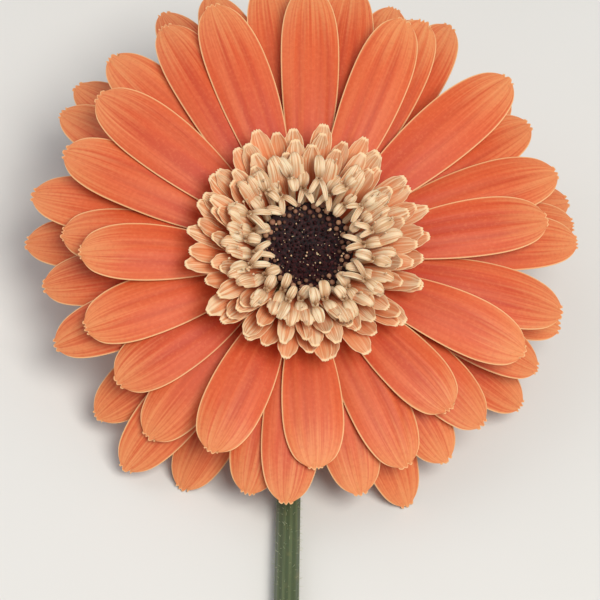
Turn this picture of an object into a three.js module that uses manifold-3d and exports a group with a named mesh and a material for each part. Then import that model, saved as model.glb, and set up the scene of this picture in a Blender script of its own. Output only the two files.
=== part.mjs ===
// A cut gerbera daisy, lying on a flat surface with its face up.
//
// The flower head faces up and leans towards the cut end of its stem. The stem leaves the back of
// the head, bends round and lies along the surface in the -Y direction. Two of the lowest petals
// rest their tips on the surface, one on each side of the stem, so the flower cannot roll.
//
// Units are millimetres and +Z is up. Every piece of the head is drawn in the head's own frame:
// its z axis is the flower's axis (positive on the face side), its origin is the middle of the
// receptacle's top, and its angles run anticlockwise from +X when the face is looked at.

import * as THREE from "three";
import { mergeVertices } from "three/addons/utils/BufferGeometryUtils.js";
import Module from "manifold-3d";

const wasm = await Module();
wasm.setup();

// ---------------------------------------------------------------------------------------------
// Driving dimensions

const HEAD_LEAN = THREE.MathUtils.degToRad(20); // the face leans this far from straight up, towards -Y

const STEM_LENGTH_FLAT = 215; // the part of the stem that lies on the surface
const STEM_BEND_RADIUS = 13;
const STEM_RADIUS = 2.4;
const STEM_RADIUS_CUT = 2.8; // at the cut end
const STEM_RADIUS_TOP = 3.6; // the neck swells where it meets the head
const STEM_SWELL_LENGTH = 12;
const STEM_SWAY = 6; // the stem's sideways wander on the surface
const STEM_DRIFT = 12; // how far its cut end lies to the side

const RECEPTACLE_RADIUS = 11.8;
const RECEPTACLE_DEPTH = 9.5;
const GAP = 0.3; // clearance between pieces that touch on the real flower

const PETAL_ROOT = 12.2; // distance of a petal's root from the flower's axis
const PETAL_THICKNESS = 0.5;
const PETAL_TOP = -0.6; // height of the uppermost whorl's root
const WHORL_STEP = 0.9; // each whorl grows this much lower than the one above it
const WHORL_CLEARANCE = 23.5; // petals of one whorl stand at least this many degrees apart
const PETAL_REST = 1.4; // a tip that would end up closer to the surface than this rests on it

// Ray petals from the uppermost to the lowest: angle in degrees, reach from the axis, breadth.
// A petal grows in the first whorl below every earlier petal that it would cross.
const RAY_PETALS = [
  [-177, 45.5, 11.8], [109.5, 56.5, 12.6], [66.5, 56.5, 12.2], [42.5, 60, 13.0],
  [10, 52, 12.2], [-22.5, 49.5, 12.2], [-48, 43.5, 12.4], [-87.5, 44.5, 12.4],
  [-114, 45.5, 12.2], [143, 53, 12.8], [87.5, 60, 12.2], [21, 58.5, 12.6],
  [-10.5, 55.5, 12.6], [-64.5, 48, 12.4], [-94, 51, 12.0], [-159, 47, 12.4],
  [158, 53, 12.2], [121, 57, 12.4], [62.5, 60, 12.2], [78.5, 64, 12.4],
  [95, 64, 12.6], [32.5, 59.5, 12.2], [-42, 50.5, 12.2], [-75, 50, 12.2],
  [-103, 50, 11.8], [-143, 46, 12.6], [-130, 48.5, 12.4], [176, 49, 12.0],
  [132, 58.5, 12.4], [6.5, 60, 12.2], [-21.5, 54.5, 11.8], [-53, 51, 12.0],
  [58.5, 66, 12.0], [-158.5, 53, 12.0], [166, 56.5, 12.2], [106, 64, 12.2],
  [69, 65, 12.0], [40.5, 63, 11.8], [11.5, 61, 11.6], [-11.5, 57.5, 11.4],
  [-30, 55.5, 12.0], [-64.5, 54.5, 11.8], [-128, 55.5, 12.2], [-174, 52.5, 12.0],
  [147, 59, 12.0], [139.5, 61, 11.8], [116, 64.5, 11.8], [64.5, 66, 11.6],
  [17, 62.5, 11.6], [-117, 52, 11.8], [-141, 52, 11.8], [176.5, 56, 11.8],
];

// Rows of small florets that stand on the receptacle round the dark middle, from the outside in.
// Each row has a ring that its florets share, and a line of [radius, height] from foot to tip.
const FLORET_ROWS = [
  {
    name: "trans_florets_outer",
    count: 36,
    turn: 0,
    ring: [9.9, 11.4],
    line: [[10.6, 0.9], [15.5, 3.0], [20.2, 6.4], [25.0, 9.8]],
    widths: [1.3, 2.5, 3.0, 1.2],
    material: "transFloret",
  },
  {
    name: "trans_florets_middle",
    count: 34,
    turn: 5,
    ring: [8.5, 9.5],
    line: [[9.0, 0.9], [9.9, 1.9], [13.4, 4.2], [17.2, 8.0], [21.6, 11.0]],
    widths: [1.1, 1.3, 2.2, 2.8, 1.2],
    material: "transFloret",
  },
  {
    name: "trans_florets_inner",
    count: 30,
    turn: 2,
    ring: [7.1, 8.1],
    line: [[7.6, 0.9], [8.5, 2.0], [11.4, 4.8], [14.2, 8.4], [18.0, 11.6]],
    widths: [1.1, 1.2, 1.9, 2.4, 1.3],
    material: "transFloret",
  },
  {
    name: "disc_florets_open",
    count: 24,
    turn: 0,
    ring: [5.7, 6.7],
    line: [[6.2, 0.9], [7.1, 2.2], [9.8, 5.0], [12.0, 8.6], [14.6, 11.2]],
    widths: [1.0, 1.1, 1.3, 2.0, 1.1],
    material: "discFloret",
  },
];
const FLORET_THICKNESS = 0.6;
const FLORET_RING = [0.3, 0.9]; // lowest and highest point of a row's ring

// Rows of green bracts under the petals, from the neck outwards.
const BRACT_ROWS = [
  { count: 11, turn: 0, line: [[6.0, -10.6], [8.8, -10.2], [12.4, -9.7]], widths: [2.6, 3.2, 0.9] },
  { count: 13, turn: 14, line: [[8.5, -9.5], [11.4, -8.9], [15.4, -8.1]], widths: [3.0, 3.4, 0.9] },
  { count: 16, turn: 3, line: [[11.5, -8.0], [14.4, -7.2], [19.2, -6.8]], widths: [3.2, 3.4, 0.8] },
];
const BRACT_THICKNESS = 0.7;

// ---------------------------------------------------------------------------------------------
// Colours

function finish(colour, roughness) {
  return new THREE.MeshStandardMaterial({ color: colour, roughness, metalness: 0 });
}

const MATERIALS = {
  petal: finish(0xdf6a42, 0.62),
  transFloret: finish(0xe89a6e, 0.6),
  discFloret: finish(0xddc9a0, 0.6),
  discBud: finish(0x2a0f12, 0.55),
  receptacle: finish(0x9aa56a, 0.7),
  bract: finish(0x5f7a43, 0.65),
  stem: finish(0x6d8a4c, 0.55),
};

// ---------------------------------------------------------------------------------------------
// Closed solids

// Turns every face round if the closed surface encloses a negative volume.
function faceOutwards(positions, triangles) {
  const [a, b, c] = [new THREE.Vector3(), new THREE.Vector3(), new THREE.Vector3()];
  let volume = 0;
  for (let i = 0; i < triangles.length; i += 3) {
    a.fromArray(positions, triangles[i] * 3);
    b.fromArray(positions, triangles[i + 1] * 3);
    c.fromArray(positions, triangles[i + 2] * 3);
    volume += a.dot(b.cross(c));
  }
  if (volume >= 0) return;
  for (let i = 0; i < triangles.length; i += 3)
    [triangles[i + 1], triangles[i + 2]] = [triangles[i + 2], triangles[i + 1]];
}

// A closed solid through a list of sections, each the same number of points in the same order.
function loft(sections) {
  const count = sections[0].length;
  const positions = sections.flat().flatMap((point) => point.toArray());
  const triangles = [];
  for (let s = 0; s + 1 < sections.length; s++)
    for (let i = 0; i < count; i++) {
      const here = s * count + i;
      const beside = s * count + ((i + 1) % count);
      triangles.push(here, beside, beside + count, here, beside + count, here + count);
    }
  const last = (sections.length - 1) * count;
  for (let i = 1; i + 1 < count; i++) {
    triangles.push(0, i + 1, i);
    triangles.push(last, last + i, last + i + 1);
  }
  faceOutwards(positions, triangles);
  const geometry = new THREE.BufferGeometry();
  geometry.setAttribute("position", new THREE.Float32BufferAttribute(positions, 3));
  geometry.setIndex(triangles);
  return geometry;
}

// A profile of [radius, height] points turned about the flower's axis.
function lathe(profile, segments) {
  const points = profile.map(([radius, height]) => new THREE.Vector2(radius, height));
  const geometry = new THREE.LatheGeometry(points, segments);
  geometry.rotateX(Math.PI / 2); // the lathe's axis is +Y, the flower's is +Z
  return geometry;
}

function toSolid(geometry) {
  const bare = geometry.clone();
  bare.deleteAttribute("normal");
  bare.deleteAttribute("uv");
  const merged = mergeVertices(bare, 1e-4);
  const positions = Array.from(merged.attributes.position.array);
  // The lathe's seam and poles leave triangles with no area, which go.
  const triangles = [];
  const index = merged.index.array;
  for (let i = 0; i < index.length; i += 3) {
    const [a, b, c] = [index[i], index[i + 1], index[i + 2]];
    if (a !== b && b !== c && a !== c) triangles.push(a, b, c);
  }
  faceOutwards(positions, triangles);
  const mesh = new wasm.Mesh({
    numProp: 3,
    vertProperties: new Float32Array(positions),
    triVerts: new Uint32Array(triangles),
  });
  return new wasm.Manifold(mesh);
}

function toGeometry(solid) {
  const mesh = solid.getMesh();
  const geometry = new THREE.BufferGeometry();
  geometry.setAttribute("position", new THREE.BufferAttribute(new Float32Array(mesh.vertProperties), 3));
  geometry.setIndex(new THREE.BufferAttribute(new Uint32Array(mesh.triVerts), 1));
  return geometry;
}

// Joins several geometries that touch or cross into one closed geometry.
function join(geometries) {
  return toGeometry(geometries.map(toSolid).reduce((whole, piece) => whole.add(piece)));
}

function named(name, geometry, material) {
  const flat = geometry.index ? geometry.toNonIndexed() : geometry;
  flat.computeVertexNormals();
  const mesh = new THREE.Mesh(flat, material);
  mesh.name = name;
  return mesh;
}

// ---------------------------------------------------------------------------------------------
// Ray petals

// The whorl of each ray petal, in the order of RAY_PETALS.
function whorlsOf(petals) {
  const whorls = [];
  for (const [angle] of petals) {
    const crossed = whorls.filter((_, other) => {
      const apart = Math.abs(angle - petals[other][0]) % 360;
      return Math.min(apart, 360 - apart) < WHORL_CLEARANCE;
    });
    whorls.push(crossed.length ? Math.max(...crossed) + 1 : 0);
  }
  return whorls;
}

// Height of a petal's edge at a distance from the axis. Lower whorls rise less and droop more.
function petalHeight(radius, whorl) {
  const out = radius - PETAL_ROOT;
  const rise = 0.26 - 0.03 * whorl;
  const droop = 0.006 + 0.0003 * whorl;
  return PETAL_TOP - WHORL_STEP * whorl + rise * out - droop * out * out;
}

// Half a petal's breadth at a share of its length, as a share of its widest.
function petalOutline(share) {
  const widest = 0.64;
  if (share < widest) return 0.32 + 0.68 * Math.sin((Math.PI / 2) * (share / widest)) ** 0.9;
  return Math.sqrt(Math.max(0.045, 1 - ((share - widest) / (1 - widest)) ** 2.3));
}

const PETAL_STATIONS = [0, 0.1, 0.22, 0.36, 0.5, 0.64, 0.78, 0.91, 1];

function rayPetal(angle, reach, breadth, whorl, tipLift) {
  const sections = PETAL_STATIONS.map((share) => {
    const radius = PETAL_ROOT + (reach - PETAL_ROOT) * share;
    const half = (breadth / 2) * petalOutline(share);
    const edge = petalHeight(radius, whorl) + tipLift * share * share;
    const crown = edge + Math.min(0.04 * (radius - PETAL_ROOT), 0.9) * (1 - share ** 4) + 0.05;
    return [
      new THREE.Vector3(radius, half, edge),
      new THREE.Vector3(radius, 0, crown),
      new THREE.Vector3(radius, -half, edge),
      new THREE.Vector3(radius, -half, edge - PETAL_THICKNESS),
      new THREE.Vector3(radius, 0, crown - PETAL_THICKNESS),
      new THREE.Vector3(radius, half, edge - PETAL_THICKNESS),
    ];
  });
  return loft(sections).rotateZ(THREE.MathUtils.degToRad(angle));
}

// ---------------------------------------------------------------------------------------------
// Florets and bracts: rows of small blades round a shared ring

// One blade along a line of [radius, height] points.
function blade(line, widths, thickness) {
  return line.map(([radius, height], i) => {
    const half = widths[i] / 2;
    return [
      new THREE.Vector3(radius, half, height),
      new THREE.Vector3(radius, -half, height),
      new THREE.Vector3(radius, -half, height - thickness),
      new THREE.Vector3(radius, half, height - thickness),
    ];
  });
}

function bladesAround({ count, turn, line, widths }, thickness) {
  return Array.from({ length: count }, (_, i) => {
    const angle = THREE.MathUtils.degToRad(turn + (360 * i) / count);
    return loft(blade(line, widths, thickness)).rotateZ(angle);
  });
}

function floretRow(row) {
  const [inner, outer] = row.ring;
  const [low, high] = FLORET_RING;
  const ring = lathe([[inner, low], [outer, low], [outer, high], [inner, high], [inner, low]], 36);
  return join([ring, ...bladesAround(row, FLORET_THICKNESS)]);
}

function involucre() {
  const cup = lathe(
    [
      [4.1, -10.1], [9.8, -8.2], [12.5, -6.1], [14.0, -6.4],
      [13.2, -7.8], [10.2, -10.0], [4.1, -11.9], [4.1, -10.1],
    ],
    36,
  );
  const bracts = BRACT_ROWS.flatMap((row) => bladesAround(row, BRACT_THICKNESS));
  return join([cup, ...bracts]);
}

// ---------------------------------------------------------------------------------------------
// Receptacle and closed buds

function receptacle() {
  const r = RECEPTACLE_RADIUS;
  return lathe([[0, -RECEPTACLE_DEPTH], [4.6, -RECEPTACLE_DEPTH], [9.4, -7.5], [r, -5.4], [r, 0], [0, 0]], 36);
}

function discBuds() {
  return lathe([[0, 0.3], [5.0, 0.3], [6.0, 2.6], [9.2, 5.4], [9.0, 6.1], [4.5, 4.7], [0, 3.7]], 30);
}

// ---------------------------------------------------------------------------------------------
// Stem, in the frame of the surface that it lies on

const neckDrop = (RECEPTACLE_DEPTH + GAP) * Math.cos(HEAD_LEAN);
const HEAD_HEIGHT = STEM_BEND_RADIUS * (1 + Math.sin(HEAD_LEAN)) + STEM_RADIUS + neckDrop;
const neckTop = new THREE.Vector3(0, (RECEPTACLE_DEPTH + GAP) * Math.sin(HEAD_LEAN), HEAD_HEIGHT - neckDrop);
const bendTurn = Math.PI / 2 + HEAD_LEAN;

function stemRadius(along, whole) {
  const swell = Math.max(0, 1 - along / STEM_SWELL_LENGTH) ** 2;
  const slim = STEM_RADIUS + (STEM_RADIUS_CUT - STEM_RADIUS) * (along / whole);
  return slim + (STEM_RADIUS_TOP - STEM_RADIUS) * swell;
}

// Centre and direction of the stem at a distance along it from the neck.
function stemAt(along, whole) {
  const bendLength = STEM_BEND_RADIUS * bendTurn;
  const down = new THREE.Vector3(0, Math.sin(HEAD_LEAN), -Math.cos(HEAD_LEAN));
  const inwards = new THREE.Vector3(0, -Math.cos(HEAD_LEAN), -Math.sin(HEAD_LEAN));
  const centre = neckTop.clone().addScaledVector(inwards, STEM_BEND_RADIUS);
  if (along <= bendLength) {
    const turned = along / STEM_BEND_RADIUS;
    return {
      point: centre
        .clone()
        .addScaledVector(inwards, -STEM_BEND_RADIUS * Math.cos(turned))
        .addScaledVector(down, STEM_BEND_RADIUS * Math.sin(turned)),
      direction: down
        .clone()
        .multiplyScalar(Math.cos(turned))
        .addScaledVector(inwards, Math.sin(turned)),
    };
  }
  const share = (along - bendLength) / STEM_LENGTH_FLAT;
  const side = -STEM_SWAY * Math.sin(Math.PI * share) * share ** 0.5 * 1.4 + STEM_DRIFT * share ** 3;
  const ahead = share + 0.01;
  const sideAhead = -STEM_SWAY * Math.sin(Math.PI * ahead) * ahead ** 0.5 * 1.4 + STEM_DRIFT * ahead ** 3;
  return {
    point: new THREE.Vector3(side, centre.y - (along - bendLength), stemRadius(along, whole)),
    direction: new THREE.Vector3(sideAhead - side, -0.01 * STEM_LENGTH_FLAT, 0).normalize(),
  };
}

function stem() {
  const sides = 12;
  const bendLength = STEM_BEND_RADIUS * bendTurn;
  const whole = bendLength + STEM_LENGTH_FLAT;
  const bendSteps = 12;
  const flatSteps = 22;
  const stops = [];
  for (let i = 0; i < bendSteps; i++) stops.push((bendLength * i) / bendSteps);
  for (let i = 0; i <= flatSteps; i++) stops.push(bendLength + (STEM_LENGTH_FLAT * i) / flatSteps);
  const sections = stops.map((along) => {
    const { point, direction } = stemAt(along, whole);
    const across = new THREE.Vector3(1, 0, 0).addScaledVector(direction, -direction.x).normalize();
    const up = new THREE.Vector3().crossVectors(direction, across);
    const radius = stemRadius(along, whole) / Math.cos(Math.PI / sides);
    return Array.from({ length: sides }, (_, i) => {
      const angle = (Math.PI * (2 * i + 1)) / sides; // a flat side faces the surface
      return point
        .clone()
        .addScaledVector(across, radius * Math.cos(angle))
        .addScaledVector(up, radius * Math.sin(angle));
    });
  });
  return loft(sections);
}

// ---------------------------------------------------------------------------------------------
// Assembly

// Height above the surface of the lowest point of a piece that is drawn in the head's frame.
function lowestPoint(geometry) {
  const { array } = geometry.attributes.position;
  let lowest = Infinity;
  for (let i = 0; i < array.length; i += 3) {
    const height = HEAD_HEIGHT + array[i + 1] * Math.sin(HEAD_LEAN) + array[i + 2] * Math.cos(HEAD_LEAN);
    lowest = Math.min(lowest, height);
  }
  return lowest;
}

const head = new THREE.Group();
const whorls = whorlsOf(RAY_PETALS);
RAY_PETALS.forEach(([angle, reach, breadth], i) => {
  // A petal whose tip would come close to the surface rests on it.
  const clearance = lowestPoint(rayPetal(angle, reach, breadth, whorls[i], 0));
  const tipLift = clearance < PETAL_REST ? -clearance / Math.cos(HEAD_LEAN) : 0;
  const name = "ray_petal_" + String(i + 1).padStart(2, "0");
  head.add(named(name, rayPetal(angle, reach, breadth, whorls[i], tipLift), MATERIALS.petal));
});
for (const row of FLORET_ROWS) head.add(named(row.name, floretRow(row), MATERIALS[row.material]));
head.add(named("disc_buds", discBuds(), MATERIALS.discBud));
head.add(named("receptacle", receptacle(), MATERIALS.receptacle));
head.add(named("involucre_bracts", involucre(), MATERIALS.bract));
head.rotation.x = HEAD_LEAN;
head.position.z = HEAD_HEIGHT;

// The part's origin is the middle of its box's underside, on the surface that it lies on.
const flower = new THREE.Group();
flower.add(head, named("stem", stem(), MATERIALS.stem));
flower.updateMatrixWorld(true);
const box = new THREE.Box3().setFromObject(flower, true);
const middle = box.getCenter(new THREE.Vector3());
flower.position.set(-middle.x, -middle.y, -box.min.z);

export default flower;
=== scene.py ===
# %% [markdown]
# # A gerbera daisy, cut and laid down with its face up
#
# A gerbera is a flower head made of many small flowers. The long straps round the outside are ray
# florets, which everybody calls petals. Inside them stand rows of short salmon and cream
# straps, then a ring of opened florets with curled lips, then the closed buds of the dark eye.
# Green bracts hold the head from behind, and one leafless stem carries it.
#
# The CAD model is loaded first and is never moved. It says where each piece lies, how long it is
# and how it is tilted, and every piece below is grown on those measures.

import math

import bmesh
import bpy
import numpy as np
from mathutils import Matrix, Vector


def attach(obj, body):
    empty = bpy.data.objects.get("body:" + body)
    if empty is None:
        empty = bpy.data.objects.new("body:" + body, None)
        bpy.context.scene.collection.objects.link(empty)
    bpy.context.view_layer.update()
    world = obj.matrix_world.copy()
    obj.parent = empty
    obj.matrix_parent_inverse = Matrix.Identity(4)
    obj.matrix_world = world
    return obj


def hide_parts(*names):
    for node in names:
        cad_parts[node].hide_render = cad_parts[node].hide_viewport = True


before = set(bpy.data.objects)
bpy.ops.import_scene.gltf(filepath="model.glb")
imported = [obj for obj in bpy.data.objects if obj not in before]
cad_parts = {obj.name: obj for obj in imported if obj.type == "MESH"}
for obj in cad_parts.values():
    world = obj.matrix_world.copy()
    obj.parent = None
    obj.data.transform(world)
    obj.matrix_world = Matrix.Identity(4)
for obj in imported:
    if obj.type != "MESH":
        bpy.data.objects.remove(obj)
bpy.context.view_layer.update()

# %% [markdown]
# ## The head's own frame
#
# The flower leans, so nothing on it is level. It is far easier to build each piece as if the flower
# looked straight up, and to lean the finished points afterwards. This cell finds the middle of the
# receptacle's top, which is the disc that all the florets grow from, and makes two small functions:
# one takes points from the scene to the upright head, the other brings them back. Lengths in the
# head's frame are millimetres, because flowers are small and metres would be all zeros.

# %% The head's own frame
MM = 0.001
HEAD_LEAN = math.radians(20)
LEAN = np.array(Matrix.Rotation(HEAD_LEAN, 3, "X"))


def node_points(node):
    """The corners of one CAD node, in metres."""
    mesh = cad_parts[node].data
    points = np.empty(len(mesh.vertices) * 3)
    mesh.vertices.foreach_get("co", points)
    return points.reshape(-1, 3)


upright = node_points("receptacle") @ LEAN
low, high = upright.min(0), upright.max(0)
head_origin = LEAN @ np.array([(low[0] + high[0]) / 2, (low[1] + high[1]) / 2, high[2]])


def in_head(points):
    """Scene points in metres, seen from the upright head in millimetres."""
    return (points - head_origin) @ LEAN / MM


def from_head(points):
    """Points of the upright head in millimetres, put back in the scene in metres."""
    return points * MM @ LEAN.T + head_origin


print("The head's origin in metres:", head_origin.round(4))

# %% [markdown]
# ## Lofted rings
#
# Petals, lips, tubes, bracts and the stem all have the same build: a closed outline is carried along
# a line while it changes its size. A loft does this. It takes a list of rings, joins each ring to
# the next with four-sided faces, and closes both ends. A modifier such as Solidify or Skin could
# thicken a simple strip too, but a loft gives exact control of grooves, teeth and rims, and each
# piece stays one closed mesh.
#
# A Sheaf gathers many lofts into one piece. With every point it keeps two notes for the materials:
# "place" says how far across and along the strap the point is, with a chance number for the strap,
# and "look" says how near the rim it is, whether it is on the upper side, and one spare mark.

# %% Lofts and sheaves
def smooth_path(knots, count):
    """Evenly spaced points on a smooth curve through the knots."""
    knots = np.asarray(knots, float)
    before, after = 2 * knots[0] - knots[1], 2 * knots[-1] - knots[-2]
    padded = np.vstack([before, knots, after])
    t = np.linspace(0, len(knots) - 1, count * 4)
    i = np.minimum(t.astype(int), len(knots) - 2)
    a, b, c, d = padded[i], padded[i + 1], padded[i + 2], padded[i + 3]
    f = (t - i)[:, None]
    curve = (2 * b + (c - a) * f + (2 * a - 5 * b + 4 * c - d) * f**2 + (3 * b - a - 3 * c + d) * f**3) / 2
    steps = np.linalg.norm(np.diff(curve, axis=0), axis=1)
    length = np.concatenate([[0], np.cumsum(steps)])
    wanted = np.linspace(0, length[-1], count)
    return np.stack([np.interp(wanted, length, axis) for axis in curve.T], -1)


class Sheaf:
    """Lofts that are gathered into one piece."""

    def __init__(self):
        self.points, self.faces, self.place, self.look = [], [], [], []
        self.count = 0

    def add(self, rings, place, look):
        rows, ring = rings.shape[:2]
        start = self.count + np.arange(rows - 1)[:, None] * ring
        here, beside = start + np.arange(ring), start + (np.arange(ring) + 1) % ring
        sides = np.stack([here, beside, beside + ring, here + ring], -1).reshape(-1, 4)
        j = np.arange(ring // 2 - 1)
        cap = self.count + np.stack([j, ring - 1 - j, ring - 2 - j, j + 1], -1)
        self.faces += [sides, cap, cap[:, ::-1] + (rows - 1) * ring]
        self.points.append(rings.reshape(-1, 3))
        self.place.append(np.broadcast_to(place, rings.shape).reshape(-1, 3))
        self.look.append(np.broadcast_to(look, rings.shape).reshape(-1, 3))
        self.count += rows * ring


def make_piece(name, sheaf, material, replaced=(), to_scene=from_head):
    """Turns a sheaf into one named object that rides with the flower."""
    mesh = bpy.data.meshes.new(name)
    points = to_scene(np.concatenate(sheaf.points))
    mesh.from_pydata(points.tolist(), [], np.concatenate(sheaf.faces).tolist())
    for label, values in (("place", sheaf.place), ("look", sheaf.look)):
        note = mesh.attributes.new(label, "FLOAT_VECTOR", "POINT")
        note.data.foreach_set("vector", np.concatenate(values).astype(np.float32).ravel())
    work = bmesh.new()
    work.from_mesh(mesh)
    bmesh.ops.recalc_face_normals(work, faces=work.faces)
    work.to_mesh(mesh)
    work.free()
    mesh.polygons.foreach_set("use_smooth", [True] * len(mesh.polygons))
    mesh.materials.append(material)
    piece = bpy.data.objects.new(name, mesh)
    bpy.context.scene.collection.objects.link(piece)
    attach(piece, "root")
    if replaced:
        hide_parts(*replaced)
    return piece


# %% [markdown]
# ## A strap
#
# A strap is the shape that nearly everything on this flower shares. It follows a side view, which
# is a line of [outwards, up] points, and it has a half breadth at each step. Its cross-section can
# be crowned, cupped or grooved by lifting points off the line, and its tip gets teeth when points
# are pushed forward or back. The columns stand closer together near the edges, so the pale rim and
# the rolled edge get more points than the plain middle.

# %% A strap
def columns(count):
    """Places across a strap from -1 to 1, closer together near its edges."""
    return np.sin(np.linspace(-1, 1, count) * math.pi / 2)


def ramp_up(value, low, high):
    """0 below low, 1 above high and a smooth rise between them."""
    t = np.clip((value - low) / (high - low), 0, 1)
    return t * t * (3 - 2 * t)


def strap(path, half, lift, thickness, forward=0.0, tone=0.5, rim_width=0.3, mark=0.0):
    """Rings of a strap in its own upright plane, with the notes for its material."""
    rows, across = lift.shape
    t = columns(across)
    run = np.gradient(path, axis=0)
    step = np.linalg.norm(run, axis=1, keepdims=True)
    run = run / step
    rise = np.stack([-run[:, 1], run[:, 0]], -1)
    side = half[:, None] * t

    def layer(offset):
        push = np.broadcast_to(forward, offset.shape)[..., None]
        plane = path[:, None] + rise[:, None] * offset[..., None] + run[:, None] * push
        return np.stack([plane[..., 0], side, plane[..., 1]], -1)

    rings = np.concatenate([layer(lift), layer(lift - thickness)[:, ::-1]], 1)
    travelled = np.cumsum(step[:, 0])
    along = (travelled / travelled[-1])[:, None] * np.ones(across)
    to_edge = np.minimum(half[:, None] * (1 - abs(t)), (1 - along) * travelled[-1] + rim_width * 0.1)
    rim = np.clip(1 - to_edge / rim_width, 0, 1)

    def both(values):
        return np.concatenate([values, values[:, ::-1]], 1)

    upper = np.concatenate([np.ones((rows, across)), np.zeros((rows, across))], 1)
    marks = both(np.broadcast_to(mark, lift.shape))
    place = np.stack([both(np.broadcast_to(t, lift.shape)), both(along), np.full_like(upper, tone)], -1)
    look = np.stack([both(rim), upper, marks], -1)
    return rings, place, look


def spun(points, angle):
    """Points turned about the flower's axis."""
    c, s = math.cos(angle), math.sin(angle)
    x, y, z = points[..., 0], points[..., 1], points[..., 2]
    return np.stack([c * x - s * y, s * x + c * y, z], -1)


def swung(points, foot, yaw=0.0, roll=0.0):
    """Points turned about an upright line at their foot, and rolled about the line outwards."""
    moved = points - foot
    c, s = math.cos(roll), math.sin(roll)
    x, y, z = moved[..., 0], moved[..., 1], moved[..., 2]
    moved = np.stack([x, c * y - s * z, s * y + c * z], -1)
    return spun(moved, yaw) + foot


# %% [markdown]
# ## Finishes
#
# Each finish is a small network of nodes on one Principled shader. The same few steps return in all
# of them: read a note, stretch some noise along the strap so it becomes fine veins, and blend
# colours by how far along, or how near the rim, a point is. The helper class below keeps the
# wiring short. Numbers that are the same all over a surface are typed into the shader's sockets.


def tint(red, green, blue):
    """A colour as seen on a screen, 0 to 255, turned into the linear light that shaders use."""
    seen = np.array([red, green, blue]) / 255
    linear = np.where(seen <= 0.04045, seen / 12.92, ((seen + 0.055) / 1.055) ** 2.4)
    return (*linear.tolist(), 1.0)


class Finish:
    """One procedural material, and short ways to wire its nodes."""

    def __init__(self, name, slot, roughness, **sockets):
        self.material = bpy.data.materials.new(name)
        self.material.use_nodes = True
        self.tree = self.material.node_tree
        self.shader = self.tree.nodes["Principled BSDF"]
        self.shader.inputs["Roughness"].default_value = roughness
        for socket, value in sockets.items():
            self.shader.inputs[socket.replace("_", " ")].default_value = value
        print("Finish:", name)

    def feed(self, socket, value):
        if isinstance(value, bpy.types.NodeSocket):
            self.tree.links.new(value, socket)
        else:
            socket.default_value = value

    def note(self, name):
        """The three numbers of a note, as three sockets."""
        reader = self.tree.nodes.new("ShaderNodeAttribute")
        reader.attribute_name = name
        parts = self.tree.nodes.new("ShaderNodeSeparateXYZ")
        self.tree.links.new(reader.outputs["Vector"], parts.inputs[0])
        return parts.outputs[0], parts.outputs[1], parts.outputs[2]

    def math(self, operation, a, b=0.0, c=0.0, clamp=False):
        node = self.tree.nodes.new("ShaderNodeMath")
        node.operation = operation
        node.use_clamp = clamp
        for socket, value in zip(node.inputs, (a, b, c)):
            self.feed(socket, value)
        return node.outputs[0]

    def rise(self, value, low, high, to=1.0):
        """0 below low, and a smooth rise to its full value at high."""
        node = self.tree.nodes.new("ShaderNodeMapRange")
        node.interpolation_type = "SMOOTHSTEP"
        for socket, given in zip(node.inputs, (value, low, high, 0.0, to)):
            self.feed(socket, given)
        return node.outputs[0]

    def vector(self, x, y, z):
        node = self.tree.nodes.new("ShaderNodeCombineXYZ")
        for socket, value in zip(node.inputs, (x, y, z)):
            self.feed(socket, value)
        return node.outputs[0]

    def noise(self, vector, scale=1.0, detail=2.0):
        node = self.tree.nodes.new("ShaderNodeTexNoise")
        self.feed(node.inputs["Vector"], vector)
        node.inputs["Scale"].default_value = scale
        node.inputs["Detail"].default_value = detail
        return node.outputs[0]

    def object_noise(self, scale, detail=2.0):
        """Noise fixed to the object, with its scale in metres."""
        place = self.tree.nodes.new("ShaderNodeTexCoord")
        return self.noise(place.outputs["Object"], scale, detail)

    def blend(self, share, a, b):
        node = self.tree.nodes.new("ShaderNodeMix")
        node.data_type = "RGBA"
        colours = [socket for socket in node.inputs if socket.type == "RGBA"]
        self.feed(node.inputs[0], share)
        self.feed(colours[0], a)
        self.feed(colours[1], b)
        return next(socket for socket in node.outputs if socket.type == "RGBA")

    def bump(self, height, strength, distance):
        node = self.tree.nodes.new("ShaderNodeBump")
        node.inputs["Strength"].default_value = strength
        node.inputs["Distance"].default_value = distance
        self.feed(node.inputs["Height"], height)
        self.tree.links.new(node.outputs[0], self.shader.inputs["Normal"])

    def colour(self, value):
        self.feed(self.shader.inputs["Base Color"], value)


def veins(finish, across, along, tone, fine, long):
    """Noise that is stretched along a strap, so that it reads as veins."""
    shift = finish.math("MULTIPLY", tone, 61.0)
    x = finish.math("MULTIPLY_ADD", across, fine, shift)
    y = finish.math("MULTIPLY", along, long)
    return finish.noise(finish.vector(x, y, shift), 1.0, 3.0)


# %% [markdown]
# ## The finish of the ray petals
#
# A petal is deep red-orange at its root and in its grooves, which is partly its own colour and partly
# painted shade, coral over its middle, and peach in fine streaks at its tip, with a thin cream line
# all round its edge. The underside is paler and yellower. Light comes a little way through a petal,
# so the shader scatters some of it under the surface. The streaks are noise that is squeezed across
# the petal and stretched along it.

# %% Ray petal finish
petal = Finish(
    "petal_skin", "ray_petal", 0.55,
    Specular_IOR_Level=0.4, Subsurface_Weight=0.1, Subsurface_Scale=0.0012,
    Subsurface_Radius=(1.0, 0.32, 0.16), Sheen_Weight=0.03, Sheen_Roughness=0.45,
)

across, along, tone = petal.note("place")
rim, upper, groove = petal.note("look")
fine_veins = veins(petal, across, along, tone, 13.0, 1.6)
broad_veins = veins(petal, across, along, tone, 3.4, 0.9)
mottle = petal.object_noise(1500.0, 3.0)
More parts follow.
